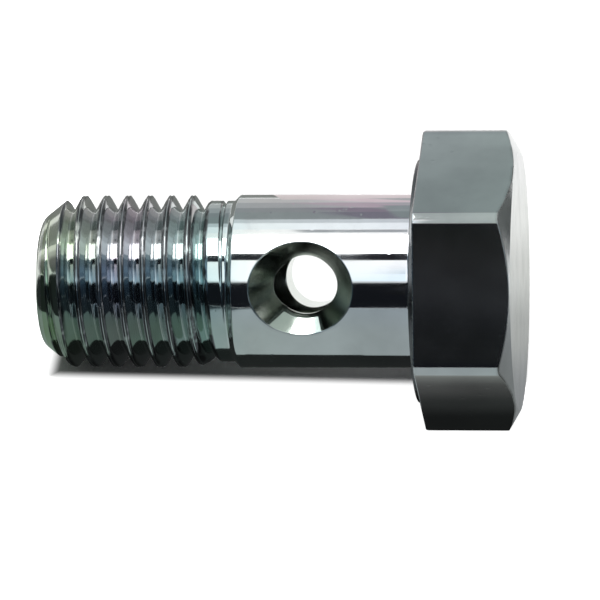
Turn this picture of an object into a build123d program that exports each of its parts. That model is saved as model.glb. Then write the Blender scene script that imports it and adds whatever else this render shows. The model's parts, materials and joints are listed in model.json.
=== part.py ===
from build123d import *
import os
from math import atan, cos, degrees, radians, sin, tan

# A banjo bolt, turned and thread-rolled in one piece of steel. Millimetres.
#
# The bolt is built upright along +Z, its threaded tip on Z = 0 and its head on top. Its +X
# side is the side that faces up once it lies on the bench. At the end it is laid down, on
# one flat of its head and on the thread, with the head towards +X and the bench at Z = 0.

# Head
across_flats = 18.0
head_height = 6.5
corner_radius = 0.9        # rounding of the six long edges, left by the drawn hexagon bar
crown_radius = 8.85        # flat disc inside the chamfer of the outer end
crown_angle = 30.0
heel_radius = 10.15        # the shank side is only broken at its corners, outside the flats
heel_angle = 60.0
washer_face_diameter = 16.6
washer_face_height = 0.35

# Shank and neck
length_under_head = 25.8   # tip to washer face
shank_diameter = 11.8
shank_start = 13.6         # end of the ramp that rises from the neck
neck_diameter = 11.0       # the blank that the thread is rolled on
neck_end = 13.2
seat_corner_break = 0.2

# Thread, M12 x 1.5 right-hand
pitch = 1.5
crest_diameter = 11.75
root_diameter = 9.75
flank_angle = 30.0
crest_flat = pitch / 8
first_root = 2.17          # height at which the groove first passes the +X side
full_depth_end = 11.75
full_depth_turns = 8
lift_turns = 0.85          # the groove rises out into the neck along these
full_crest_end = 10.6      # the crests sink back to the blank from here
crest_end = 11.4
tip_radius = 4.35
tip_cone_end = 1.95
tip_edge_break = 0.3

# Passages
bore_diameter = 5.5
bore_depth = 21.0
bore_mouth_chamfer = 0.4
drill_point_angle = 118.0
cross_hole_diameter = 4.0
cross_hole_height = 18.3
countersink_diameter = 7.05
countersink_angle = 47.0
cross_hole_turn = 60.0     # from +X to the flat of the head that the hole looks past

# Worked out from the above
shank_radius = shank_diameter / 2
neck_radius = neck_diameter / 2
crest_radius = crest_diameter / 2
root_radius = root_diameter / 2
bore_radius = bore_diameter / 2
head_bottom = length_under_head + washer_face_height
head_top = head_bottom + head_height
corner_reach = across_flats / 2 / cos(radians(30))


def chamfer_rise(start_radius, angle):
    """Height that a head chamfer gains between start_radius and the sharp corners."""
    return (corner_reach - start_radius) * tan(radians(angle))


def across_path(path):
    """The plane across a helical path at its start, with its X axis pointing outwards."""
    start = path @ 0
    return Plane(origin=start, x_dir=(start.X, start.Y, 0), z_dir=path % 0)


# The V of the groove: its floor is on the local Y axis, and its mouth opens towards +X and
# reaches just past the crests.
thread_depth = crest_radius - root_radius
mouth_depth = thread_depth + 0.1
floor_half = (pitch - crest_flat) / 2 - thread_depth * tan(radians(flank_angle))
mouth_half = floor_half + mouth_depth * tan(radians(flank_angle))

with BuildSketch() as groove_outline:
    with BuildLine():
        Polyline(
            (0, -floor_half),
            (mouth_depth, -mouth_half),
            (mouth_depth, mouth_half),
            (0, floor_half),
            close=True,
        )
    make_face()

# One turn of the groove at full depth, and the stretch that rises out of it into the neck.
with BuildPart() as groove_turn:
    with BuildLine() as turn_path:
        Helix(pitch, pitch, root_radius)
    with BuildSketch(across_path(turn_path.line)):
        add(groove_outline.sketch_local)
    sweep(path=turn_path.line, is_frenet=True)

lift_rise = pitch * lift_turns
lift_angle = degrees(atan((neck_radius - root_radius) / lift_rise))

with BuildPart() as groove_lift:
    with BuildLine() as lift_path:
        Helix(pitch, lift_rise, root_radius, cone_angle=lift_angle)
    with BuildSketch(across_path(lift_path.line)):
        add(groove_outline.sketch_local)
    sweep(path=lift_path.line, is_frenet=True)

with BuildPart() as upright_bolt:
    # Head: hexagon bar with a chamfer turned on both ends.
    with BuildSketch(Plane.XY.offset(head_bottom)) as bar:
        RegularPolygon(across_flats / 2, 6, major_radius=False, rotation=30)
        fillet(bar.vertices(), corner_radius)
    extrude(amount=head_height)
    with BuildSketch(Plane.XZ):
        with BuildLine():
            Polyline(
                (0, head_bottom),
                (heel_radius, head_bottom),
                (corner_reach, head_bottom + chamfer_rise(heel_radius, heel_angle)),
                (corner_reach, head_top - chamfer_rise(crown_radius, crown_angle)),
                (crown_radius, head_top),
                (0, head_top),
                close=True,
            )
        make_face()
    revolve(axis=Axis.Z, mode=Mode.INTERSECT)

    # Blank: washer face, shank, neck and the threaded end, turned round one axis.
    with BuildSketch(Plane.XZ) as blank:
        with BuildLine():
            Polyline(
                (0, 0),
                (tip_radius, 0),
                (crest_radius, tip_cone_end),
                (crest_radius, full_crest_end),
                (neck_radius, crest_end),
                (neck_radius, neck_end),
                (shank_radius, shank_start),
                (shank_radius, length_under_head),
                (washer_face_diameter / 2, length_under_head),
                (washer_face_diameter / 2, head_bottom),
                (0, head_bottom),
                close=True,
            )
        make_face()
        tip_edge = blank.vertices().sort_by_distance((tip_radius, 0))[0]
        chamfer(tip_edge, tip_edge_break)
        seat_corner = blank.vertices().sort_by_distance((shank_radius, length_under_head))[0]
        chamfer(seat_corner, seat_corner_break)
    revolve(axis=Axis.Z)

    # Thread: turn after turn up to full_depth_end, turned to pass first_root on the +X side.
    groove_start = full_depth_end - full_depth_turns * pitch
    start_turn = 360 * (groove_start - first_root) / pitch
    for turn in range(full_depth_turns):
        with Locations(Location((0, 0, groove_start + turn * pitch), (0, 0, start_turn))):
            add(groove_turn.part, mode=Mode.SUBTRACT)
    with Locations(Location((0, 0, full_depth_end), (0, 0, start_turn))):
        add(groove_lift.part, mode=Mode.SUBTRACT)

    # Bore: drilled from the tip to just past the cross hole, with a drill point.
    with BuildSketch(Plane.XZ):
        with BuildLine():
            Polyline(
                (0, 0),
                (bore_radius + bore_mouth_chamfer, 0),
                (bore_radius, bore_mouth_chamfer),
                (bore_radius, bore_depth),
                (0, bore_depth + bore_radius / tan(radians(drill_point_angle / 2))),
                close=True,
            )
        make_face()
    revolve(axis=Axis.Z, mode=Mode.SUBTRACT)

    # Cross hole: drilled right through, and countersunk where the drill went in.
    drill_side = (cos(radians(cross_hole_turn)), sin(radians(cross_hole_turn)), 0)
    entry = Vector(drill_side) * shank_radius + Vector(0, 0, cross_hole_height)
    with Locations(Plane(origin=entry, x_dir=(0, 0, 1), z_dir=drill_side)):
        CounterSinkHole(
            radius=cross_hole_diameter / 2,
            counter_sink_radius=countersink_diameter / 2,
            depth=shank_diameter + 1,
            counter_sink_angle=countersink_angle,
        )

# The bolt lies on the bench on one flat of its head and on the first crest by its tip.
first_low_crest = first_root - crest_flat / 2
lean = atan((across_flats / 2 - crest_radius) / (head_bottom - first_low_crest))
lying = Plane(origin=(0, 0, 0), x_dir=(-sin(lean), 0, cos(lean)), z_dir=(cos(lean), 0, sin(lean)))
lying_box = upright_bolt.part.moved(lying.location).bounding_box()
to_bench = Location((-lying_box.center().X, -lying_box.center().Y, -lying_box.min.Z))

with BuildPart() as banjo_bolt:
    with Locations(to_bench * lying.location):
        add(upright_bolt.part)

os.makedirs("parts", exist_ok=True)
banjo_bolt.part.label = "banjo_bolt"
export_step(banjo_bolt.part, "parts/banjo_bolt.step")
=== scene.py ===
import json
import math

import bmesh
import bpy
from mathutils import Matrix, Vector


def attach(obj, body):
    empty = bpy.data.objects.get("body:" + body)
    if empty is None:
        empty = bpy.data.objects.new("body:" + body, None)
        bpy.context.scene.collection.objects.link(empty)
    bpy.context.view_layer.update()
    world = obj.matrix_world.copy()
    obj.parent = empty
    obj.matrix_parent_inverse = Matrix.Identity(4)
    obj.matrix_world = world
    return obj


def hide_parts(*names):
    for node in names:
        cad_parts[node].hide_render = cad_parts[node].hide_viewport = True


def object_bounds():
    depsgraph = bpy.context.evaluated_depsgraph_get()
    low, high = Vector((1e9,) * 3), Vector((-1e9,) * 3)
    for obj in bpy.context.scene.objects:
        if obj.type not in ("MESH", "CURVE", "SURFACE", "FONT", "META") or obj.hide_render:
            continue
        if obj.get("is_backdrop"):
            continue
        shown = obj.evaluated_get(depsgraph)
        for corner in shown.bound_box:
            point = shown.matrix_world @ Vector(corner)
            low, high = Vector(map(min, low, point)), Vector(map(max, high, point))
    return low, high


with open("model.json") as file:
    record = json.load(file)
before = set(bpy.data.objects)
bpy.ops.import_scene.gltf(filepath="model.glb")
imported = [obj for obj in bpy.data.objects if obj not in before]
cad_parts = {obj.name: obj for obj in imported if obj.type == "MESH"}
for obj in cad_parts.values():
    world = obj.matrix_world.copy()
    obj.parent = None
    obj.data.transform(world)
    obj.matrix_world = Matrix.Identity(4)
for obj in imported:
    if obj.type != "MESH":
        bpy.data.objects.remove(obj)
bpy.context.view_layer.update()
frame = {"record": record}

# --- The drawn bar ------------------------------------------------------------------
# The bolt starts as hexagon bar of free-cutting steel, drawn to 18 mm across its flats,
# with rounded long edges. The mesh is made standing, tip on Z = 0, in columns of points:
# each column has its own angle round the axis, and flat 0 faces the +X side.

MM = 0.001

across_flats = 18.0
bar_corner_radius = 0.9
flat_steps = 32
corner_steps = 8

bar_corner_centre = (across_flats / 2 - bar_corner_radius) / math.cos(math.radians(30))
half_flat_angle = math.atan2(bar_corner_centre * math.sin(math.radians(30)), across_flats / 2)


def bar_radius(angle):
    """Distance from the axis to the outline of the bar at an angle round it."""
    off_flat = (angle + math.radians(30)) % math.radians(60) - math.radians(30)
    if abs(off_flat) <= half_flat_angle:
        return across_flats / 2 / math.cos(off_flat)
    off_corner = math.radians(30) - abs(off_flat)
    across = bar_corner_centre * math.sin(off_corner)
    return bar_corner_centre * math.cos(off_corner) + math.sqrt(bar_corner_radius ** 2 - across ** 2)


def column_angles():
    """Angles of the columns: wide steps over a flat, narrow ones round each corner."""
    angles = []
    half_corner_angle = math.radians(30) - half_flat_angle
    for flat in range(6):
        middle = math.radians(60) * flat
        for k in range(flat_steps):
            angles.append(middle + half_flat_angle * (2 * k / flat_steps - 1))
        for k in range(corner_steps):
            angles.append(middle + math.radians(30) + half_corner_angle * (2 * k / corner_steps - 1))
    return angles


def upright(radius, angle, height):
    return (radius * math.cos(angle), radius * math.sin(angle), height)


def add_skin(shape, rows, left_open=None, lift=0):
    """Adds quads between rows of points that close round the axis. A cell (row, column) in
    left_open gets none, and each time round, the rows meet the ones that are lift higher."""
    rings = [[shape.verts.new(Vector(p) * MM) for p in row] for row in rows]
    last = len(rows[0]) - 1
    for level in range(len(rings) - 1):
        lower, upper = rings[level], rings[level + 1]
        for k in range(last + 1):
            if left_open and left_open(level, k):
                continue
            if k < last:
                shape.faces.new((lower[k], lower[k + 1], upper[k + 1], upper[k]))
            elif level + 1 + lift < len(rings):
                low, high = rings[level + lift], rings[level + 1 + lift]
                shape.faces.new((lower[k], low[0], high[0], upper[k]))


def with_stays(path, stay=0.15):
    """The path with a point close to each end of its long straights, to keep edges narrow."""
    result = [path[0]]
    for before, after in zip(path, path[1:]):
        start, run = Vector(before), Vector(after) - Vector(before)
        if run.length > 4 * stay:
            for distance in (stay, run.length - stay):
                point = start + run.normalized() * distance
                result.append((point.x, point.y))
        result.append(after)
    return result


def rounded(first, corners, last, steps=4):
    """A path from first to last whose corners (x, y, radius) are replaced by arcs."""
    path = [first]
    ends = [first] + [c[:2] for c in corners] + [last]
    for i, (x, y, radius) in enumerate(corners):
        here = Vector((x, y))
        into = (Vector(ends[i]) - here).normalized()
        out = (Vector(ends[i + 2]) - here).normalized()
        half = into.angle(out) / 2
        centre = here + (into + out).normalized() * radius / math.sin(half)
        start = here + into * radius / math.tan(half) - centre
        end = here + out * radius / math.tan(half) - centre
        for k in range(steps + 1):
            spoke = start.slerp(end, k / steps) * radius
            path.append((centre.x + spoke.x, centre.y + spoke.y))
    return with_stays(path + [last])


angles = column_angles()
bolt_shape = bmesh.new()

# --- The bore and the tip -----------------------------------------------------------
# The bore is drilled from the tip with a 118 degree drill, and its mouth is broken. The tip
# is turned to a long cone, which leads the thread in.

bore_radius = 2.75
bore_depth = 21.0
drill_point_angle = 118.0
drill_edge = 0.05
bore_mouth_break = 0.4
mouth_edge = 0.06
tip_radius = 4.35
tip_rounding = 0.7
crest_radius = 5.875
tip_cone_end = 1.95
thread_low = 0.45
hole_height = 18.3
bore_window = 2.45
window_rows = 20

tip_slope = (crest_radius - tip_radius) / tip_cone_end
drill_point = bore_depth + bore_radius / math.tan(math.radians(drill_point_angle / 2))


def window_heights(half):
    """Heights of the rows of points beside the cross hole, from the top one down."""
    return [hole_height + half * (1 - 2 * k / window_rows) for k in range(window_rows + 1)]


bore_top = rounded(
    (0, drill_point),
    [(bore_radius, bore_depth, drill_edge)],
    (bore_radius, hole_height + bore_window),
)
bore_foot = rounded(
    (bore_radius, hole_height - bore_window),
    [
        (bore_radius, bore_mouth_break, mouth_edge),
        (bore_radius + bore_mouth_break, 0.0, mouth_edge),
        (tip_radius, 0.0, tip_rounding),
    ],
    (tip_radius + tip_slope * thread_low, thread_low),
)
bore_path = bore_top[:-1] + [(bore_radius, h) for h in window_heights(bore_window)] + bore_foot[1:]

# --- The cross hole -----------------------------------------------------------------
# A 4 mm hole is drilled right through the shank and the bore, towards one flat of the head.
# The side where the drill goes in is opened by a steep countersink, and the edges are only
# just broken.

shank_radius = 5.9
hole_radius = 2.0
hole_turn = math.radians(60)
countersink_radius = 3.525
countersink_angle = 47.0
rim_break = 0.07
shank_window = 4.1
window_columns = 38
meeting_rounds = 12
surface_shares = (1, 0.66, 0.4, 0.2, 0.07, 0)
wall_steps = 4
throat_steps = 2
fillet_steps = 3

countersink_slope = math.tan(math.radians(countersink_angle / 2))
window_angle = angles[flat_steps // 2 + window_columns] - angles[flat_steps // 2]


def countersunk(depth):
    """Radius of the hole, countersunk side, at a distance from the bolt's axis."""
    return max(hole_radius, countersink_radius - (shank_radius - depth) * countersink_slope)


def plain(depth):
    """Radius of the hole on its other side, the same at every distance."""
    return hole_radius


def meets(round_radius, spoke, tool):
    """Distance from the bolt's axis at which the hole cuts a round surface, on one spoke."""
    depth = round_radius
    for _ in range(meeting_rounds):
        depth = math.sqrt(round_radius ** 2 - (tool(depth) * math.cos(spoke)) ** 2)
    return depth


def hole_point(turn, spoke, radius, depth):
    """A point at a radius from the hole's own axis and a distance from the bolt's axis."""
    side = radius * math.cos(spoke)
    return Vector((
        depth * math.cos(turn) - side * math.sin(turn),
        depth * math.sin(turn) + side * math.cos(turn),
        hole_height + radius * math.sin(spoke),
    ))


def surface_run(turn, spoke, border, round_radius, tool):
    """Points from the border of a window to just short of the hole, on the round surface."""
    radius = tool(meets(round_radius, spoke, tool)) + rim_break
    depth = math.sqrt(round_radius ** 2 - (radius * math.cos(spoke)) ** 2)
    start = (turn + math.atan2(radius * math.cos(spoke), depth), hole_height + radius * math.sin(spoke))
    run = []
    for share in surface_shares:
        angle = start[0] + (border[0] - start[0]) * share
        run.append(upright(round_radius, angle, start[1] + (border[1] - start[1]) * share))
    return run


def broken_edge(before, corner, after):
    """Points of a small fillet in place of a corner, between two points beside it."""
    shares = [k / (fillet_steps + 1) for k in range(1, fillet_steps + 1)]
    return [before * (1 - s) ** 2 + corner * (2 * s * (1 - s)) + after * s ** 2 for s in shares]


def cut_hole(shape, turn, middle, tool):
    """Skins one side of the cross hole: shank, wall and bore, between the two windows."""
    left, right = middle - window_columns, middle + window_columns
    border = [(left + k, 0) for k in range(2 * window_columns)]
    border += [(right, k) for k in range(window_rows)]
    border += [(right - k, window_rows) for k in range(2 * window_columns)]
    border += [(left, window_rows - k) for k in range(window_rows)]
    spokes = []
    for column, level in border:
        angle = angles[column]
        spoke = math.atan2(1 - 2 * level / window_rows, (angle - turn) / window_angle)
        outer = meets(shank_radius, spoke, tool)
        inner = meets(bore_radius, spoke, tool)
        kink = max(inner + rim_break, shank_radius - (countersink_radius - hole_radius) / countersink_slope)
        wall_depths = []
        for k in range(wall_steps + 1):
            wall_depths.append(outer - rim_break + (kink - outer + rim_break) * k / wall_steps)
        wall_depths.insert(1, outer - 2 * rim_break)
        for k in range(1, throat_steps + 1):
            wall_depths.append(kink + (inner + rim_break - kink) * k / throat_steps)
        wall = [hole_point(turn, spoke, tool(d), d) for d in wall_depths]
        on_shank = surface_run(turn, spoke, (angle, window_heights(shank_window)[level]), shank_radius, tool)
        in_bore = surface_run(turn, spoke, (angle, window_heights(bore_window)[level]), bore_radius, tool)
        in_bore.reverse()
        rim = broken_edge(Vector(on_shank[-1]), hole_point(turn, spoke, tool(outer), outer), wall[0])
        lip = broken_edge(wall[-1], hole_point(turn, spoke, tool(inner), inner), Vector(in_bore[0]))
        spokes.append(on_shank + rim + wall + lip + in_bore)
    add_skin(shape, list(zip(*spokes)))


def window_at(first_row):
    """Says which cells of a skin lie in a window for the cross hole, on either side."""
    def inside(level, column):
        near = abs(column + 0.5 - near_column) < window_columns
        far = abs(column + 0.5 - far_column) < window_columns
        return (near or far) and first_row <= level < first_row + window_rows
    return inside


columns_per_side = flat_steps + corner_steps
near_column = columns_per_side + flat_steps // 2
far_column = near_column + 3 * columns_per_side
cut_hole(bolt_shape, hole_turn, near_column, countersunk)
cut_hole(bolt_shape, hole_turn + math.pi, far_column, plain)
bore_rows = [[upright(r, a, h) for a in angles] for r, h in bore_path]
add_skin(bolt_shape, bore_rows, window_at(len(bore_top) - 1))

# --- The rolled thread --------------------------------------------------------------
# M12 x 1.5, right-hand, rolled on the turned blank, so its crests have a fine seam where
# the metal closed up, its roots are rounded and it fades out in the neck. Its rows of points
# climb with the thread, so that crests and roots stay crisp.

pitch = 1.5
root_radius = 4.875
root_rounding = 0.035
crest_rounding = 0.06
seam_depth = 0.06
seam_width = 0.05
first_root = 2.17
full_depth_end = 11.75
lift_length = 1.275
full_crest_end = 10.6
crest_end = 11.4
blank_blend = 0.1
cone_blend = 0.12
neck_radius = 5.5
thread_high = 13.1
fade_length = 0.4
first_turn = -2
last_turn = 9
flank_angle = 30.0
row_shares = (0.04, 0.085, 0.13, 0.175, 0.22, 0.28, 0.43, 0.66, 0.85, 0.93, 0.97)

flank_rise = 1 / math.tan(math.radians(flank_angle))


def soft_min(a, b, blend):
    """The lower of two values, with the corner between them rounded over a blend."""
    near = max(blend - abs(a - b), 0) / blend
    return min(a, b) - near * near * blend / 4


def rolled_blank(height, off_crest):
    """Radius of the blank, cone and sunken crests included, with the seam on each crest."""
    seam = seam_depth * math.exp(-(off_crest / seam_width) ** 2)
    sink = (crest_radius - neck_radius) / (crest_end - full_crest_end)
    crest = crest_radius - seam
    outside = soft_min(crest, crest - (height - full_crest_end) * sink, blank_blend)
    outside = -soft_min(-outside, -neck_radius, blank_blend)
    return soft_min(outside, tip_radius + tip_slope * height, cone_blend)


def groove(height, off_root):
    """Radius of the V groove whose root is off_root away along the axis."""
    lift = max(0.0, height - off_root - full_depth_end) / lift_length
    floor = root_radius + lift * (neck_radius - root_radius)
    return floor + (math.hypot(off_root, root_rounding) - root_rounding) * flank_rise


def thread_radius(height, angle):
    """Radius of the threaded end at a height and an angle."""
    off_crest = (height - first_root - pitch * angle / math.tau) % pitch - pitch / 2
    off_roots = (off_crest - pitch / 2, off_crest + pitch / 2)
    radius = rolled_blank(height, off_crest)
    rounding = crest_rounding * min(1, (thread_high - height) / fade_length + 1e-6)
    for off_root in off_roots:
        radius = soft_min(radius, groove(height, off_root), rounding)
    return radius


half_rows = [share * pitch / 2 for share in row_shares]
turn_rows = [-h for h in reversed(half_rows)] + [0.0] + half_rows + [pitch / 2]
thread_rows = []
for turn in range(first_turn, last_turn + 1):
    for step in turn_rows:
        row = []
        for angle in angles:
            height = first_root + pitch * (turn + 0.5 + angle / math.tau) + step - pitch / 2
            height = min(max(height, thread_low), thread_high)
            row.append(upright(thread_radius(height, angle), angle, height))
        thread_rows.append(row)
add_skin(bolt_shape, thread_rows, lift=len(turn_rows))

# --- The shank and the head ---------------------------------------------------------
# The neck ramps up to the plain shank, which ends at a turned washer face. The head keeps
# the drawn flats of the bar, and both of its ends are chamfered in the lathe.

neck_end = 13.2
neck_fillet = 0.1
shank_start = 13.6
shank_edge = 0.12
shank_length = 25.8
seat_fillet = 0.22
washer_face_radius = 8.3
washer_face_edge = 0.08
washer_face_foot = 0.05
washer_face_margin = 0.25
head_bottom = 26.15
head_top = 32.65
crown_radius = 8.85
crown_angle = 30.0
heel_radius = 10.15
heel_angle = 60.0
head_edge = 0.10
edge_stay = 0.15
largest_stay_share = 0.4

underside_start = (washer_face_radius + washer_face_margin, head_bottom)
shank_foot = rounded(
    (neck_radius, thread_high),
    [(neck_radius, neck_end, neck_fillet), (shank_radius, shank_start, shank_edge)],
    (shank_radius, hole_height - shank_window),
)
shank_head = rounded(
    (shank_radius, hole_height + shank_window),
    [
        (shank_radius, shank_length, seat_fillet),
        (washer_face_radius, shank_length, washer_face_edge),
        (washer_face_radius, head_bottom, washer_face_foot),
    ],
    underside_start,
)
shank_path = shank_foot[:-1]
shank_path += [(shank_radius, h) for h in reversed(window_heights(shank_window))]
shank_path += shank_head[1:]


def crossing(line_a, line_b):
    """Where two lines n . p = d meet, each given as (n, d)."""
    (a, p), (b, q) = line_a, line_b
    det = a[0] * b[1] - a[1] * b[0]
    return Vector(((p * b[1] - q * a[1]) / det, (a[0] * q - b[0] * p) / det))


def head_outline(radius, steps=3):
    """Radius and height along the head, from its underside to its end, at one column."""
    crown, heel = math.radians(crown_angle), math.radians(heel_angle)
    lines = []
    for normal, point in (
        ((0, -1), (0, head_bottom)),
        ((math.sin(heel), -math.cos(heel)), (heel_radius, head_bottom)),
        ((1, 0), (radius, 0)),
        ((math.sin(crown), math.cos(crown)), (crown_radius, head_top)),
        ((0, 1), (0, head_top)),
    ):
        lines.append((normal, normal[0] * point[0] + normal[1] * point[1] - head_edge))
    centres = [crossing(lines[i], lines[i + 1]) for i in range(4)]
    if centres[0].x > centres[1].x:
        centres[0] = centres[1] = crossing(lines[0], lines[2])
    path = []
    for i, centre in enumerate(centres):
        start = math.atan2(lines[i][0][1], lines[i][0][0])
        end = math.atan2(lines[i + 1][0][1], lines[i + 1][0][0])
        for k in range(steps + 1):
            turn = start + (end - start) * k / steps
            path.append((centre.x + head_edge * math.cos(turn), centre.y + head_edge * math.sin(turn)))
    path.append((0.0, head_top))
    stayed = path[:1]
    for k, (before, after) in enumerate(zip(path, path[1:])):
        if k % (steps + 1) == steps:
            start, run = Vector(before), Vector(after) - Vector(before)
            share = min(edge_stay / max(run.length, 1e-9), largest_stay_share)
            stayed += [tuple(start + run * share), tuple(start + run * (1 - share))]
        stayed.append(after)
    return stayed[:-2] + stayed[-1:]


shank_rows = [[upright(r, a, h) for a in angles] for r, h in shank_path]
add_skin(bolt_shape, shank_rows, window_at(len(shank_foot) - 1))
head_columns = [[underside_start] + head_outline(bar_radius(a)) for a in angles]
head_rows = []
for level in zip(*head_columns):
    head_rows.append([upright(r, a, h) for (r, h), a in zip(level, angles)])
add_skin(bolt_shape, head_rows)

# --- The whole bolt -----------------------------------------------------------------
# The skins are welded into one piece of steel. Each face is given the finish of the tool that
# cut it, but the washer face and the head's underside round it are painted near black as shade.
# The sharp edges are marked, because handling wears them first, and on the thread the marks
# carry painted shade. Then the bolt is laid down as it comes to rest, on a flat of its head and
# on its thread.

bore_finish, thread_finish, shank_finish, flat_finish, end_finish, hole_finish, shaded_seat_finish = range(7)
hole_from, hole_to = 14, 23
end_face_depth = 1
wall_slack = 0.1
seat_slack_below = 0.02
seat_slack_above = 0.01
seat_from = 0.3
flat_lean = 0.3


def finish_of(face):
    """Number of the finish on a face, in the order in which the finishes are made below."""
    middle = face.calc_center_median() / MM
    reach = math.hypot(middle.x, middle.y)
    if reach < bore_radius + wall_slack and middle.z < head_top - end_face_depth:
        return bore_finish
    if hole_from < middle.z < hole_to and reach < shank_radius - wall_slack:
        return hole_finish
    if middle.z < thread_high:
        return thread_finish if middle.z > thread_low else end_finish
    # The washer face and the head's underside round it get the near-black finish of painted shade.
    at_seat = shank_length - seat_slack_below < middle.z < head_bottom + seat_slack_above
    if at_seat and reach > shank_radius + seat_from:
        return shaded_seat_finish
    if middle.z < head_bottom - seat_slack_above:
        return shank_finish
    return flat_finish if abs(face.normal.z) < flat_lean else end_finish


hole_axis = Vector((math.cos(hole_turn), math.sin(hole_turn), 0))
hole_low_side = Vector((-math.sin(hole_turn), math.cos(hole_turn), 0))
dish_margin = 0.02
dish_middle = -8
dish_half_width = 36
dish_fade = 6
dish_strength = 1.04


def dished_share(spot):
    """1 on the low side of the countersink, where the deburring tool dished the wall, else 0."""
    depth = spot.dot(hole_axis)
    off = spot - Vector((0, 0, hole_height)) - hole_axis * depth
    if depth <= 0 or math.hypot(spot.x, spot.y) > shank_radius - dish_margin:
        return 0.0
    if not hole_radius + dish_margin < off.length < countersink_radius - dish_margin:
        return 0.0
    turn = math.degrees(math.atan2(off.z, off.dot(hole_low_side)))
    return min(max((dish_half_width - abs(turn - dish_middle)) / dish_fade, 0), 1)


surface_slack = 0.001
shank_from, shank_to = 13.8, 25.5
bore_from, bore_to = 0.5, 20.9


def shading_normal(vert):
    """Direction a point faces: true on the turned shank and bore, else led by its large faces."""
    spot = vert.co / MM
    outward = Vector((spot.x, spot.y, 0)).normalized()
    reach = math.hypot(spot.x, spot.y)
    if abs(reach - shank_radius) < surface_slack and shank_from < spot.z < shank_to:
        return outward
    if abs(reach - bore_radius) < surface_slack and bore_from < spot.z < bore_to:
        return -outward
    faced = Vector()
    for face in vert.link_faces:
        faced += face.normal * face.calc_area()
    faced.normalize()
    return (faced + dish_strength * dished_share(spot) * hole_axis).normalized()


hollow_limit = -0.02
even_bend, tight_bend = 4, 12


def edge_share(vert, facing):
    """How far a point lies on an outward edge, from 0 on an even face to 1 on a tight fillet."""
    bend = max(face.normal.angle(facing) for face in vert.link_faces)
    around = Vector()
    for edge in vert.link_edges:
        around += (edge.other_vert(vert).co - vert.co).normalized()
    if around.dot(facing) > hollow_limit * len(vert.link_edges):
        return 0.0
    return min(max((math.degrees(bend) - even_bend) / (tight_bend - even_bend), 0), 1)


weld_distance = 0.0005
bmesh.ops.remove_doubles(bolt_shape, verts=bolt_shape.verts, dist=weld_distance * MM)
unused = [vert for vert in bolt_shape.verts if not vert.link_faces]
bmesh.ops.delete(bolt_shape, geom=unused, context="VERTS")
bmesh.ops.recalc_face_normals(bolt_shape, faces=bolt_shape.faces)
for face in bolt_shape.faces:
    face.smooth = True
    face.material_index = finish_of(face)
facings = [shading_normal(vert) for vert in bolt_shape.verts]
edge_shares = [edge_share(vert, facing) for vert, facing in zip(bolt_shape.verts, facings)]

# The bolt is laid down where the record's head_end mount says, its +X side facing up.
head_end = next(m for m in frame["record"]["mounts"] if m["name"] == "head_end")
along = Vector(head_end["axis"]).normalized()
up_side = Vector((-along.z, 0, along.x))
near_side = Vector((0, -1, 0))
tip = Vector(head_end["pos_m"]) - along * head_top * MM
laid_down = Matrix.Translation(tip) @ Matrix((up_side, near_side, along)).transposed().to_4x4()
bolt_shape.transform(laid_down)

bolt_mesh = bpy.data.meshes.new("zinc_banjo_bolt")
bolt_shape.to_mesh(bolt_mesh)
bolt_shape.free()
turned_facings = [laid_down.to_3x3() @ facing for facing in facings]
bolt_mesh.normals_split_custom_set_from_vertices(turned_facings)
bolt_mesh.attributes.new("edge", "FLOAT", "POINT").data.foreach_set("value", edge_shares)
bolt = bpy.data.objects.new("zinc_banjo_bolt", bolt_mesh)
bpy.context.scene.collection.objects.link(bolt)

# --- The zinc plate -----------------------------------------------------------------
# Bright zinc plate under a thin clear passivate, which turns the white metal faintly green, teal,
# blue and pink along the bolt; round the bolt the tint is painted reflection colour. The thread's
# edges and the washer face are painted dark as shade. Each surface keeps the marks of the tool
# that made it.

upright_turn = laid_down.to_3x3().transposed().to_euler()
upright_shift = -(laid_down.to_3x3().transposed() @ tip)


def new_group(name, inputs, outputs):
    """A shader node group with named inputs (name, kind, value) and outputs (name, kind)."""
    group = bpy.data.node_groups.new(name, "ShaderNodeTree")
    for socket_name, kind, value in inputs:
        socket = group.interface.new_socket(socket_name, in_out="INPUT", socket_type="NodeSocket" + kind)
        socket.default_value = value
    for socket_name, kind in outputs:
        group.interface.new_socket(socket_name, in_out="OUTPUT", socket_type="NodeSocket" + kind)
    return group, group.nodes.new("NodeGroupInput"), group.nodes.new("NodeGroupOutput")


def add_node(tree, kind, inputs=(), **settings):
    """A node with its settings, and its inputs given as values or as sockets to link."""
    node = tree.nodes.new(kind)
    for name, value in settings.items():
        setattr(node, name, value)
    for key, value in dict(inputs).items():
        if isinstance(value, bpy.types.NodeSocket):
            tree.links.new(value, node.inputs[key])
        else:
            node.inputs[key].default_value = value
    return node


def upright_place(tree):
    """Socket for the place of a point on the standing bolt, in metres from its tip."""
    place = add_node(tree, "ShaderNodeTexCoord").outputs["Object"]
    standing = {"Vector": place, "Rotation": upright_turn, "Location": upright_shift}
    return add_node(tree, "ShaderNodeMapping", standing).outputs["Vector"]


def colour_ramp(tree, fac, stops):
    """Colour socket that follows fac through stops (position, colour), eased between them."""
    ramp = add_node(tree, "ShaderNodeValToRGB", {"Fac": fac})
    ramp.color_ramp.interpolation = "EASE"
    elements = ramp.color_ramp.elements
    while len(elements) < len(stops):
        elements.new(0.5)
    for element, (position, colour) in zip(elements, stops):
        element.position = position
        element.color = (*colour, 1)
    return ramp.outputs["Color"]


def math_node(tree, operation, a, b=0.0, c=0.0):
    """Value socket of one operation on up to three values or sockets."""
    return add_node(tree, "ShaderNodeMath", {0: a, 1: b, 2: c}, operation=operation).outputs["Value"]


def vector_node(tree, operation, a, b=(0.0, 0.0, 0.0), scale=1.0):
    """Vector socket of one operation on two vectors, or on one vector and its scale."""
    terms = {0: a, 1: b, 3: scale}
    return add_node(tree, "ShaderNodeVectorMath", terms, operation=operation).outputs["Vector"]


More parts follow.
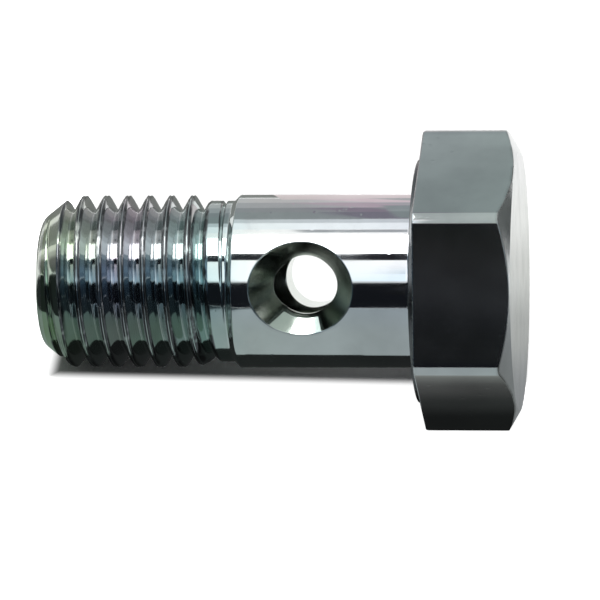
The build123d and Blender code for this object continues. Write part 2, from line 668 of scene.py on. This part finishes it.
def mix_colours(tree, blend, share, a, b):
    """Colour socket of two colours mixed, b over a by its share."""
    terms = {0: share, 6: a, 7: b}
    return add_node(tree, "ShaderNodeMix", terms, data_type="RGBA", blend_type=blend).outputs[2]


film_drift = 0.16


def build_film_and_reflection_tint():
    """The tints of the passivate along the bolt, and painted reflection tints round it."""
    group, given, made = new_group(
        "Passivate film",
        [("Metal", "Color", (0.6, 0.6, 0.6, 1)), ("Strength", "Float", 1.0)],
        [("Color", "Color")],
    )
    place = upright_place(group)
    parts = add_node(group, "ShaderNodeSeparateXYZ", {"Vector": place}).outputs
    clouds = add_node(group, "ShaderNodeTexNoise", {"Vector": place, "Scale": 260.0, "Detail": 3.0})
    off_mean = math_node(group, "SUBTRACT", clouds.outputs["Fac"], 0.5)
    drift = math_node(group, "MULTIPLY", off_mean, film_drift)
    along_bolt = math_node(group, "MULTIPLY_ADD", parts["Z"], 1 / (head_top * MM), drift)
    by_length = colour_ramp(group, along_bolt, (
        (0.000, (0.86, 1.00, 0.70)),
        (0.035, (0.89, 1.00, 0.80)),
        (0.075, (0.96, 1.00, 0.93)),
        (0.120, (0.96, 0.99, 1.00)),
        (0.175, (1.00, 0.94, 1.00)),
        (0.250, (0.96, 0.99, 1.00)),
        (0.375, (0.86, 1.00, 0.98)),
        (0.460, (0.97, 1.00, 0.98)),
        (0.620, (0.98, 0.98, 1.00)),
        (0.780, (0.97, 0.95, 1.00)),
        (1.000, (0.97, 1.00, 1.00)),
    ))
    # Painted reflection: round the bolt the tint is faintly pink on top, bluish on the upper near side, which
    # faces the camera, and greenish on the lower near side, which faces the floor in front.
    round_bolt = math_node(group, "ARCTAN2", parts["Y"], parts["X"])
    round_share = math_node(group, "MULTIPLY_ADD", round_bolt, 1 / math.tau, 0.5)
    reflection_tint_by_side = colour_ramp(group, round_share, (
        (0.00, (0.96, 1.00, 0.98)),
        (0.25, (0.98, 1.00, 0.96)),
        (0.48, (1.00, 0.98, 0.99)),
        (0.59, (1.00, 1.00, 1.00)),
        (0.655, (0.88, 0.96, 1.00)),
        (0.70, (0.89, 0.96, 1.00)),
        (0.76, (0.94, 1.00, 0.96)),
        (0.85, (0.93, 1.00, 0.95)),
        (1.00, (0.96, 1.00, 0.98)),
    ))
    both = mix_colours(group, "MULTIPLY", 1.0, by_length, reflection_tint_by_side)
    cloudy = add_node(
        group, "ShaderNodeMapRange",
        {"Value": clouds.outputs["Fac"], "From Min": 0.3, "From Max": 0.7, "To Min": 0.90, "To Max": 1.08},
    )
    metal = vector_node(group, "SCALE", given.outputs["Metal"], scale=cloudy.outputs["Result"])
    tinted = mix_colours(group, "MULTIPLY", given.outputs["Strength"], metal, both)
    group.links.new(tinted, made.inputs["Color"])
    return group


lengthwise_stretch = 0.03
broad_scale_share = 0.17
broad_height_share = 0.8


def build_tool_lines():
    """Fine lines left by a tool: rings round its axis (Rings = 1) or lines along it (0)."""
    group, given, made = new_group(
        "Tool lines",
        [("Rings", "Float", 1.0), ("Lines per mm", "Float", 12.0), ("Axis", "Vector", (0.0, 0.0, 1.0))],
        [("Height", "Float")],
    )
    middle = (0.0, 0.0, hole_height * MM)
    from_middle = vector_node(group, "SUBTRACT", upright_place(group), middle)
    on_axis = {0: from_middle, 1: given.outputs["Axis"]}
    depth = add_node(group, "ShaderNodeVectorMath", on_axis, operation="DOT_PRODUCT").outputs["Value"]
    foot = vector_node(group, "SCALE", given.outputs["Axis"], scale=depth)
    across = vector_node(group, "SUBTRACT", from_middle, foot)
    radius = add_node(group, "ShaderNodeVectorMath", {0: across}, operation="LENGTH").outputs["Value"]
    ringed = add_node(group, "ShaderNodeCombineXYZ", {"X": radius, "Y": depth}).outputs["Vector"]
    slow = vector_node(group, "SCALE", foot, scale=lengthwise_stretch)
    drawn = vector_node(group, "ADD", across, slow)
    either = {0: given.outputs["Rings"], 4: drawn, 5: ringed}
    spot = add_node(group, "ShaderNodeMix", either, data_type="VECTOR").outputs[1]
    scale = math_node(group, "MULTIPLY", given.outputs["Lines per mm"], 1000.0)
    fine = add_node(group, "ShaderNodeTexNoise", {"Vector": spot, "Scale": scale, "Detail": 2.0})
    broad_scale = math_node(group, "MULTIPLY", scale, broad_scale_share)
    broad = add_node(group, "ShaderNodeTexNoise", {"Vector": spot, "Scale": broad_scale, "Detail": 1.0})
    height = math_node(
        group, "MULTIPLY_ADD", broad.outputs["Fac"], broad_height_share, fine.outputs["Fac"]
    )
    group.links.new(height, made.inputs["Height"])
    return group


def build_handling():
    """Smudges that dull the plate and small knocks in it, as masks."""
    group, given, made = new_group(
        "Handling",
        [("Smudge size mm", "Float", 3.0), ("Knocks", "Float", 0.5)],
        [("Smudge", "Float"), ("Knock", "Float")],
    )
    place = upright_place(group)
    scale = math_node(group, "DIVIDE", 1000.0, given.outputs["Smudge size mm"])
    cloud = add_node(
        group, "ShaderNodeTexNoise", {"Vector": place, "Scale": scale, "Detail": 5.0, "Roughness": 0.6}
    )
    smudge = add_node(
        group, "ShaderNodeMapRange", {"Value": cloud.outputs["Fac"], "From Min": 0.38, "From Max": 0.68}
    )
    pits = add_node(group, "ShaderNodeTexVoronoi", {"Vector": place, "Scale": 900.0})
    depth = add_node(
        group, "ShaderNodeMapRange",
        {"Value": pits.outputs["Distance"], "From Min": 0.16, "From Max": 0.02},
        interpolation_type="SMOOTHSTEP",
    )
    knock = math_node(group, "MULTIPLY", depth.outputs["Result"], given.outputs["Knocks"])
    group.links.new(smudge.outputs["Result"], made.inputs["Smudge"])
    group.links.new(knock, made.inputs["Knock"])
    return group


def build_edge_wear_and_shade():
    """A broken mask of the outward edges: most finishes show bare steel there from handling, and
    the thread shows painted shade there.
    """
    group, given, made = new_group(
        "Edge wear",
        [("Amount", "Float", 1.0), ("Patch size mm", "Float", 1.2)],
        [("Mask", "Float")],
    )
    edge = add_node(group, "ShaderNodeAttribute", attribute_name="edge")
    place = upright_place(group)
    scale = math_node(group, "DIVIDE", 1000.0, given.outputs["Patch size mm"])
    patches = add_node(group, "ShaderNodeTexNoise", {"Vector": place, "Scale": scale, "Detail": 3.0})
    broken = add_node(
        group, "ShaderNodeMapRange", {"Value": patches.outputs["Fac"], "From Min": 0.3, "From Max": 0.55}
    )
    mask = math_node(group, "MULTIPLY", edge.outputs["Fac"], broken.outputs["Result"])
    mask = math_node(group, "MULTIPLY", mask, given.outputs["Amount"])
    group.links.new(mask, made.inputs["Mask"])
    return group


film_and_reflection_tint = build_film_and_reflection_tint()
tool_lines = build_tool_lines()
handling = build_handling()
edge_wear_and_shade_group = build_edge_wear_and_shade()
knock_depth = 0.01


def zinc_finish(name, metal, film_and_reflection_share, lines, shine, knocks, edge_wear_and_shade, axis=(0, 0, 1)):
    """Plated steel. lines: (rings, per mm, depth in mm); shine: roughness clean and smudged;
    edge_wear_and_shade: (how much, colour, roughness) of the edges, which handling bares on most
    finishes and which are painted dark as shade on the thread; axis: the tool's, on the standing bolt."""
    line_kind, lines_per_mm, line_depth = lines
    clean_shine, smudged_shine = shine
    edge_wear_and_shade_share, edge_wear_and_shade_colour, edge_wear_and_shade_shine = edge_wear_and_shade
    material = bpy.data.materials.new(name)
    material.use_nodes = True
    tree = material.node_tree
    skin = tree.nodes["Principled BSDF"]
    skin.inputs["Metallic"].default_value = 1.0
    colour = add_node(tree, "ShaderNodeGroup", node_tree=film_and_reflection_tint)
    colour.inputs["Metal"].default_value = (*metal, 1)
    colour.inputs["Strength"].default_value = film_and_reflection_share
    wear_and_shade = add_node(tree, "ShaderNodeGroup", node_tree=edge_wear_and_shade_group)
    wear_and_shade.inputs["Amount"].default_value = edge_wear_and_shade_share
    marks = add_node(tree, "ShaderNodeGroup", node_tree=tool_lines)
    marks.inputs["Rings"].default_value = line_kind
    marks.inputs["Lines per mm"].default_value = lines_per_mm
    marks.inputs["Axis"].default_value = axis
    touched = add_node(tree, "ShaderNodeGroup", node_tree=handling)
    touched.inputs["Knocks"].default_value = knocks
    # The edge colour shows where handling has bared the plate, and on the thread it is painted shade.
    rubbed_and_shaded = mix_colours(tree, "MIX", wear_and_shade.outputs["Mask"], colour.outputs["Color"], (*edge_wear_and_shade_colour, 1))
    tree.links.new(rubbed_and_shaded, skin.inputs["Base Color"])
    plate_shine = add_node(
        tree, "ShaderNodeMapRange",
        {"Value": touched.outputs["Smudge"], "To Min": clean_shine, "To Max": smudged_shine},
    )
    all_shine = add_node(
        tree, "ShaderNodeMapRange",
        {"Value": wear_and_shade.outputs["Mask"], "To Min": plate_shine.outputs["Result"], "To Max": edge_wear_and_shade_shine},
    )
    tree.links.new(all_shine.outputs["Result"], skin.inputs["Roughness"])
    lined = add_node(
        tree, "ShaderNodeBump",
        {"Height": marks.outputs["Height"], "Distance": line_depth * MM, "Strength": 1.0},
    )
    knocked = add_node(
        tree, "ShaderNodeBump",
        {"Height": touched.outputs["Knock"], "Distance": knock_depth * MM, "Normal": lined.outputs["Normal"]},
        invert=True,
    )
    tree.links.new(knocked.outputs["Normal"], skin.inputs["Normal"])
    bolt.data.materials.append(material)


rings, lengthwise = 1, 0
bright_zinc = (0.675, 0.69, 0.685)
bare_steel = (0.42, 0.43, 0.43)
dull_steel = (0.22, 0.225, 0.22)
zinc_finish(
    "zinc_drilled_bore", metal=(0.62, 0.63, 0.60), film_and_reflection_share=0.4, lines=(rings, 6, 0.003),
    shine=(0.10, 0.18), knocks=0.2, edge_wear_and_shade=(0.5, bare_steel, 0.2),
)
# Painted shade: the thread's outward edges, its crests above all, are painted near black, which turns their
# highlights into dark lines.
zinc_finish(
    "zinc_rolled_thread", metal=(0.575, 0.585, 0.58), film_and_reflection_share=1.0, lines=(lengthwise, 4, 0.0006),
    shine=(0.05, 0.10), knocks=0.4, edge_wear_and_shade=(1.5, (0.10, 0.105, 0.11), 0.16),
)
zinc_finish(
    "zinc_turned_shank", metal=bright_zinc, film_and_reflection_share=0.7, lines=(lengthwise, 5, 0.0003),
    shine=(0.04, 0.10), knocks=0.3, edge_wear_and_shade=(0.5, bare_steel, 0.2),
)
zinc_finish(
    "zinc_drawn_flats", metal=bright_zinc, film_and_reflection_share=0.4, lines=(lengthwise, 6, 0.0006),
    shine=(0.08, 0.12), knocks=0.5, edge_wear_and_shade=(1.0, bare_steel, 0.16),
)
zinc_finish(
    "zinc_turned_ends", metal=bright_zinc, film_and_reflection_share=0.3, lines=(rings, 8, 0.002),
    shine=(0.12, 0.22), knocks=0.1, edge_wear_and_shade=(1.0, dull_steel, 0.34),
)
zinc_finish(
    "zinc_cross_hole", metal=(0.58, 0.62, 0.57), film_and_reflection_share=0.4, lines=(rings, 8, 0.006),
    shine=(0.12, 0.18), knocks=0.2, edge_wear_and_shade=(0.5, bare_steel, 0.2),
    axis=hole_axis,
)
# Painted shade: the washer face and the head's underside round it are near black, for the shade in the corner
# under the head.
zinc_finish(
    "zinc_washer_face_painted_shade", metal=(0.13, 0.135, 0.14), film_and_reflection_share=0.3, lines=(rings, 8, 0.003),
    shine=(0.22, 0.32), knocks=0.2, edge_wear_and_shade=(0.6, dull_steel, 0.3),
)

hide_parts("banjo_bolt")
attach(bolt, "root")

# --- The studio ---------------------------------------------------------------------
# A plain white floor under one soft lamp, high and a little to the near side, in a white room
# that gives little light. The bolt reflects flat cards that nothing else sees: long ones
# round it, one past each end, some on the floor, and a few close to its shank and its head.
# The floor cards under, beside and behind the bolt are painted shadow.

lean_of_edge = 0.138
edge_shadow, edge_clean = -0.0005, -0.0016
tip_shadow, tip_clean = -0.0150, -0.0160

floor_mesh = bpy.data.meshes.new("floor")
floor_mesh.from_pydata([(-1, -1, 0), (1, -1, 0), (1, 1, 0), (-1, 1, 0)], [], [(0, 1, 2, 3)])
floor = bpy.data.objects.new("floor", floor_mesh)
bpy.context.scene.collection.objects.link(floor)
floor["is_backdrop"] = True
paper = bpy.data.materials.new("white_paper")
paper.use_nodes = True
paper_tree = paper.node_tree
paper_skin = paper_tree.nodes["Principled BSDF"]
for socket_name, value in (
    ("Base Color", (0.95, 0.95, 0.95, 1)),
    ("Roughness", 0.9),
    ("Specular IOR Level", 0.0),
    ("Emission Color", (1, 1, 1, 1)),
):
    paper_skin.inputs[socket_name].default_value = value

# To the camera, the floor glows white on the near side of the bolt and past its tip, so its
# shadow shows under it and behind it only.
floor_place = add_node(paper_tree, "ShaderNodeNewGeometry").outputs["Position"]
floor_parts = add_node(paper_tree, "ShaderNodeSeparateXYZ", {"Vector": floor_place}).outputs
behind_edge = math_node(paper_tree, "MULTIPLY_ADD", floor_parts["X"], -lean_of_edge, floor_parts["Y"])
near_floor = add_node(
    paper_tree, "ShaderNodeMapRange",
    {"Value": behind_edge, "From Min": edge_shadow, "From Max": edge_clean},
    interpolation_type="SMOOTHSTEP",
)
past_tip = add_node(
    paper_tree, "ShaderNodeMapRange",
    {"Value": floor_parts["X"], "From Min": tip_shadow, "From Max": tip_clean},
    interpolation_type="SMOOTHSTEP",
)
clean_floor = math_node(paper_tree, "MAXIMUM", near_floor.outputs["Result"], past_tip.outputs["Result"])
camera_ray = add_node(paper_tree, "ShaderNodeLightPath").outputs["Is Camera Ray"]
near_glow = math_node(paper_tree, "MULTIPLY", clean_floor, camera_ray)
paper_tree.links.new(near_glow, paper_skin.inputs["Emission Strength"])
floor.data.materials.append(paper)

lamp = bpy.data.objects.new("soft_lamp", bpy.data.lights.new("soft_lamp", "SUN"))
lamp.data.energy = 3.25
lamp.data.angle = math.radians(14)
lamp.rotation_euler = (math.radians(12), 0, 0)
lamp.visible_glossy = False
bpy.context.scene.collection.objects.link(lamp)


def add_card(name, corners, tones):
    """A flat glowing card that only reflections see; its tones run from low to high Y."""
    mesh = bpy.data.meshes.new(name)
    mesh.from_pydata(corners, [], [tuple(range(len(corners)))])
    card = bpy.data.objects.new(name, mesh)
    bpy.context.scene.collection.objects.link(card)
    paint = bpy.data.materials.new(name)
    paint.use_nodes = True
    tree = paint.node_tree
    tree.nodes.clear()
    glow = add_node(tree, "ShaderNodeEmission")
    if len(tones) == 1:
        brightest = max(tones[0][1])
        glow.inputs["Strength"].default_value = brightest
        glow.inputs["Color"].default_value = (*(part / brightest for part in tones[0][1]), 1)
    else:
        place = add_node(tree, "ShaderNodeTexCoord").outputs["Generated"]
        parts = add_node(tree, "ShaderNodeSeparateXYZ", {"Vector": place})
        low = min(corner[1] for corner in corners)
        high = max(corner[1] for corner in corners)
        stops = [((y - low) / (high - low), colour) for y, colour in tones]
        tree.links.new(colour_ramp(tree, parts.outputs["Y"], stops), glow.inputs["Color"])
    add_node(tree, "ShaderNodeOutputMaterial", {"Surface": glow.outputs["Emission"]})
    mesh.materials.append(paint)
    for rays in ("camera", "diffuse", "transmission", "volume_scatter", "shadow"):
        setattr(card, "visible_" + rays, False)
    card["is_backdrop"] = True


def add_floor_card(name, outline, height, tones):
    """A card lying on the floor, inside an outline of (x, y) points."""
    add_card(name, [(x, y, height) for x, y in outline], tones)


long_distance = 0.4
inner_distance = 0.39
near_distance = 0.05


def add_long_card(name, left, right, low, high, tones, distance=long_distance):
    """A card along the bolt, between two elevations; 0 is the near side and 90 is above."""
    corners = []
    for end, angle in ((left, low), (right, low), (right, high), (left, high)):
        turn = math.radians(angle)
        corners.append((end, -distance * math.cos(turn), distance * math.sin(turn)))
    add_card(name, corners, tones)


def add_end_card(name, x, side, low, high, tones):
    """An upright card past one end of the bolt, between two elevations."""
    bottom = abs(x) * math.tan(math.radians(low))
    top = abs(x) * math.tan(math.radians(high))
    near, far = side
    add_card(name, [(x, near, bottom), (x, far, bottom), (x, far, top), (x, near, top)], tones)


def box(left, right, near, far):
    """Outline of a card with its sides along X and Y."""
    return [(left, near), (right, near), (right, far), (left, far)]


lower_height, upper_height = 0.0002, 0.0003

add_floor_card(
    "card_front_floor",
    [(-0.0075, 0.003), (-0.0075, -0.018), (-0.05, -0.4), (0.0168, -0.4), (0.0168, 0.003)],
    lower_height, [(0, (0.42, 0.465, 0.48))],
)
add_floor_card("card_by_thread", box(-0.026, -0.0075, -0.018, 0.003), lower_height, [(0, (0.22, 0.28, 0.25))])
add_floor_card("card_by_tip", box(-0.6, -0.026, -0.018, 0.003), lower_height, [(0, (0.02, 0.025, 0.024))])
add_floor_card(
    "card_before_thread", [(-0.6, -0.4), (-0.05, -0.4), (-0.0075, -0.018), (-0.6, -0.018)],
    lower_height, [(0, (0.03, 0.04, 0.045))],
)
add_floor_card(
    "card_before_head", [(0.0168, -0.4), (0.4, -0.4), (0.4, -0.02), (0.0168, -0.02)],
    lower_height, [(0, (0.12, 0.13, 0.13))],
)
add_floor_card("card_far_right", box(0.15, 1.4, 0.1, 1.0), lower_height, [(0, (0.06, 0.065, 0.065))])
# Painted shadow: behind the bolt the floor card is dark grey near it and lighter further back.
add_floor_card(
    "card_behind",
    [(-0.06, 0.012), (-0.004, 0.012), (0.012, 0.06), (0.012, 0.16), (-0.06, 0.16)],
    lower_height,
    [(0.012, (0.20, 0.21, 0.20)), (0.050, (0.28, 0.29, 0.28)), (0.160, (0.50, 0.51, 0.50))],
)
# Painted shadow: a near-black card on the floor under the thread and the shank, where the bolt shades it.
add_floor_card(
    "card_painted_shadow_under_shank",
    [
        (-0.0155, 0.003),
        (-0.0155, -0.0057),
        (-0.0050, -0.0057),
        (-0.0040, -0.0063),
        (0.0095, -0.0063),
        (0.0095, 0.003),
    ],
    upper_height, [(0, (0.020, 0.022, 0.022))],
)
# Painted shadow: under the head the floor card turns from grey in front to near black beneath it.
add_floor_card("card_painted_shadow_under_head", box(0.0095, 0.0168, -0.0100, 0.003), upper_height, [
    (-0.0095, (0.28, 0.29, 0.28)),
    (-0.0083, (0.077, 0.077, 0.077)),
    (-0.0072, (0.032, 0.034, 0.034)),
    (-0.0062, (0.013, 0.014, 0.014)),
])
# Painted shadow: past the head's end the floor card is darkest close to the head and turns white 3 cm behind
# it.
add_floor_card("card_painted_shadow_beside_head", box(0.0168, 0.12, -0.02, 0.03), upper_height, [
    (-0.0200, (0.36, 0.38, 0.37)),
    (-0.0080, (0.18, 0.19, 0.19)),
    (0.0000, (0.28, 0.29, 0.30)),
    (0.0080, (0.46, 0.47, 0.46)),
    (0.0150, (0.70, 0.71, 0.69)),
    (0.0220, (0.92, 0.93, 0.91)),
    (0.0300, (1.00, 1.00, 1.00)),
])

# Each band of elevations has four long cards in a row, which meet at -0.2, at the split and
# at 0.2. No card spans 33.5 to 35.5 degrees: there the bolt reflects the white room.
dark = (0.010, 0.011, 0.014)
front_light = (1.6, 1.6, 1.6)
strip_light = (7.0, 7.0, 7.0)
for low, high, split, left, by_shank, by_thread, right in (
    (0.3, 14.0, -0.070, (0.03, 0.045, 0.06), dark, dark, (0.03, 0.04, 0.05)),
    (14.0, 22.0, -0.070, (0.04, 0.06, 0.085), dark, dark, (0.035, 0.05, 0.065)),
    (22.0, 33.5, -0.070, (0.083, 0.127, 0.165), dark, dark, (0.06, 0.08, 0.10)),
    (35.5, 45.0, -0.070, (0.21, 0.29, 0.37), front_light, (1.35, 1.5, 1.6), (0.20, 0.27, 0.32)),
    (45.0, 52.0, -0.070, (0.27, 0.38, 0.48), front_light, (0.90, 1.05, 1.15), (0.22, 0.30, 0.36)),
    (52.0, 57.0, -0.070, (0.27, 0.38, 0.48), front_light, (0.42, 0.52, 0.60), (0.22, 0.30, 0.36)),
    (57.0, 63.0, -0.070, (0.25, 0.34, 0.42), front_light, (0.12, 0.18, 0.22), (0.17, 0.23, 0.29)),
    (63.0, 72.5, -0.070, (0.25, 0.35, 0.42), (0.02, 0.02, 0.025), (0.22, 0.30, 0.36), (0.16, 0.22, 0.28)),
    (72.5, 82.0, -0.070, (0.50, 0.65, 0.72), strip_light, strip_light, (0.60, 0.65, 0.68)),
    (82.0, 99.0, -0.070, (1.30, 1.45, 1.50), strip_light, strip_light, (1.00, 1.05, 1.05)),
    (99.0, 108.0, -0.070, (1.40, 1.55, 1.60), (1.45, 1.45, 1.45), (1.45, 1.45, 1.45), (0.70, 0.72, 0.72)),
    (108.0, 119.0, -0.070, (1.10, 1.20, 1.25), (1.25, 1.32, 1.36), (1.45, 1.45, 1.45), (0.65, 0.67, 0.67)),
    (119.0, 126.0, -0.070, (0.76, 0.83, 0.83), (0.80, 0.86, 0.90), (0.95, 0.95, 0.95), (0.45, 0.47, 0.47)),
    (126.0, 140.0, -0.061, (0.58, 0.63, 0.64), (0.35, 0.39, 0.40), (0.31, 0.36, 0.36), (0.30, 0.33, 0.33)),
    (140.0, 150.0, -0.061, (0.50, 0.55, 0.55), (0.36, 0.38, 0.40), (0.31, 0.36, 0.36), (0.27, 0.29, 0.29)),
    (150.0, 164.0, -0.042, (0.40, 0.42, 0.42), (0.50, 0.51, 0.53), (0.51, 0.53, 0.53), (0.28, 0.29, 0.29)),
    (164.0, 180.0, -0.042, (0.30, 0.31, 0.31), (0.66, 0.65, 0.66), (0.51, 0.53, 0.53), (0.12, 0.13, 0.13)),
):
    place = "_%03d" % round(low)
    add_long_card("card_left" + place, -0.9, -0.2, low, high, [(0, left)])
    add_long_card("card_by_shank" + place, -0.2, split, low, high, [(0, by_shank)])
    add_long_card("card_by_thread" + place, split, 0.2, low, high, [(0, by_thread)])
    add_long_card("card_right" + place, 0.2, 0.9, low, high, [(0, right)])

# Inner cards hang a centimetre before the long ones and give part of a band another tone.
for low, high, left, right, tone in (
    (35.5, 52.0, -0.2, -0.105, (0.85, 1.00, 1.10)),
    (52.0, 57.0, -0.2, -0.1075, (0.42, 0.52, 0.60)),
    (57.0, 63.0, -0.2, -0.1087, (0.12, 0.18, 0.22)),
    (63.0, 69.0, -0.2, -0.1105, (0.22, 0.30, 0.36)),
    (69.0, 72.5, -0.2, -0.1115, (2.00, 2.10, 2.20)),
    (103.0, 107.5, -0.0955, -0.070, (0.50, 0.53, 0.55)),
    (126.0, 140.0, -0.076, -0.061, (0.24, 0.23, 0.28)),
    (140.0, 150.0, -0.071, -0.061, (0.30, 0.26, 0.32)),
    (150.0, 164.0, -0.062, -0.050, (0.57, 0.48, 0.54)),
    (164.0, 180.0, -0.049, -0.038, (0.82, 0.69, 0.73)),
):
    add_long_card("card_inner_%03d" % round(low), left, right, low, high, [(0, tone)], inner_distance)
add_card(
    "card_behind_shank",
    [(-0.0022, 0.012, 0.0078), (0.0075, 0.012, 0.0099), (0.0075, 0.012, 0.014), (-0.0022, 0.012, 0.014)],
    [(0, (0.84, 0.75, 0.76))],
)

# Near cards, 5 cm from the bolt, give the flats of the head their own shades.
add_long_card("card_before_hex", 0.0012, 0.03, 28, 41, [
    (-0.0429, (0.012, 0.013, 0.014)),
    (-0.0421, (0.015, 0.016, 0.018)),
    (-0.0411, (0.027, 0.028, 0.031)),
    (-0.0403, (0.021, 0.021, 0.023)),
    (-0.0394, (0.019, 0.019, 0.020)),
    (-0.0386, (0.009, 0.010, 0.010)),
], near_distance)
add_long_card("card_over_head", 0.0006, 0.03, 68, 112, [(0, (0.50, 0.56, 0.55))], near_distance)
add_long_card("card_by_hex", 0.0026, 0.03, 47, 68, [(0, (0.50, 0.56, 0.55))], near_distance)
add_long_card("card_behind_head", -0.0006, 0.03, 118, 142, [
    (0.0295, (0.295, 0.348, 0.348)),
    (0.0311, (0.339, 0.395, 0.395)),
    (0.0324, (0.410, 0.472, 0.472)),
    (0.0332, (0.350, 0.400, 0.410)),
], near_distance)
add_end_card("card_left_end", -0.95, (-0.42, 0.90), 0, 40, [
    (-0.42, (0.04, 0.05, 0.05)),
    (0.00, (0.12, 0.13, 0.12)),
    (0.16, (0.20, 0.20, 0.20)),
    (0.25, (0.60, 0.60, 0.60)),
    (0.32, (1.00, 1.00, 1.00)),
    (0.45, (1.00, 1.00, 1.00)),
    (0.60, (0.50, 0.50, 0.50)),
    (0.90, (0.22, 0.22, 0.22)),
])
add_end_card("card_right_end", 0.95, (-0.42, 0.42), 0, 24, [(0, (0.10, 0.11, 0.12))])

room_light = 0.12
world = bpy.data.worlds.new("white_room")
world.use_nodes = True
room = world.node_tree
rays = add_node(room, "ShaderNodeLightPath").outputs
seen = math_node(room, "MAXIMUM", rays["Is Camera Ray"], rays["Is Glossy Ray"])
seen_through = math_node(room, "MAXIMUM", seen, rays["Is Transmission Ray"])
level = add_node(room, "ShaderNodeMapRange", {"Value": seen_through, "To Min": room_light})
background = room.nodes["Background"]
background.inputs["Color"].default_value = (1, 1, 1, 1)
room.links.new(level.outputs["Result"], background.inputs["Strength"])
bpy.context.scene.world = world
bpy.context.scene.view_settings.view_transform = "Standard"

# --- The camera ---------------------------------------------------------------------
# A long lens looks down on the near side of the bolt from well back, turned a little to its
# head, and is rolled until the bolt's own axis runs level across the view.

look_height = math.radians(35.97)
look_turn = math.radians(7.14)
look_distance = 0.3074
aim_along = 17.59
aim_across = -1.296

towards = near_side * math.cos(look_height) + up_side * math.sin(look_height)
image_up = up_side * math.cos(look_height) - near_side * math.sin(look_height)
back = along * math.sin(look_turn) + towards * math.cos(look_turn)
image_right = along * math.cos(look_turn) - towards * math.sin(look_turn)
aim = tip + along * aim_along * MM + image_up * aim_across * MM

camera = bpy.data.objects.new("camera", bpy.data.cameras.new("camera"))
camera.data.lens = 270
camera.data.sensor_width = 36
camera.data.clip_start = 0.01
bpy.context.scene.collection.objects.link(camera)
turned = Matrix((image_right, image_up, back)).transposed().to_4x4()
camera.matrix_world = Matrix.Translation(aim + back * look_distance) @ turned
bpy.context.scene.camera = camera

low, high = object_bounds()
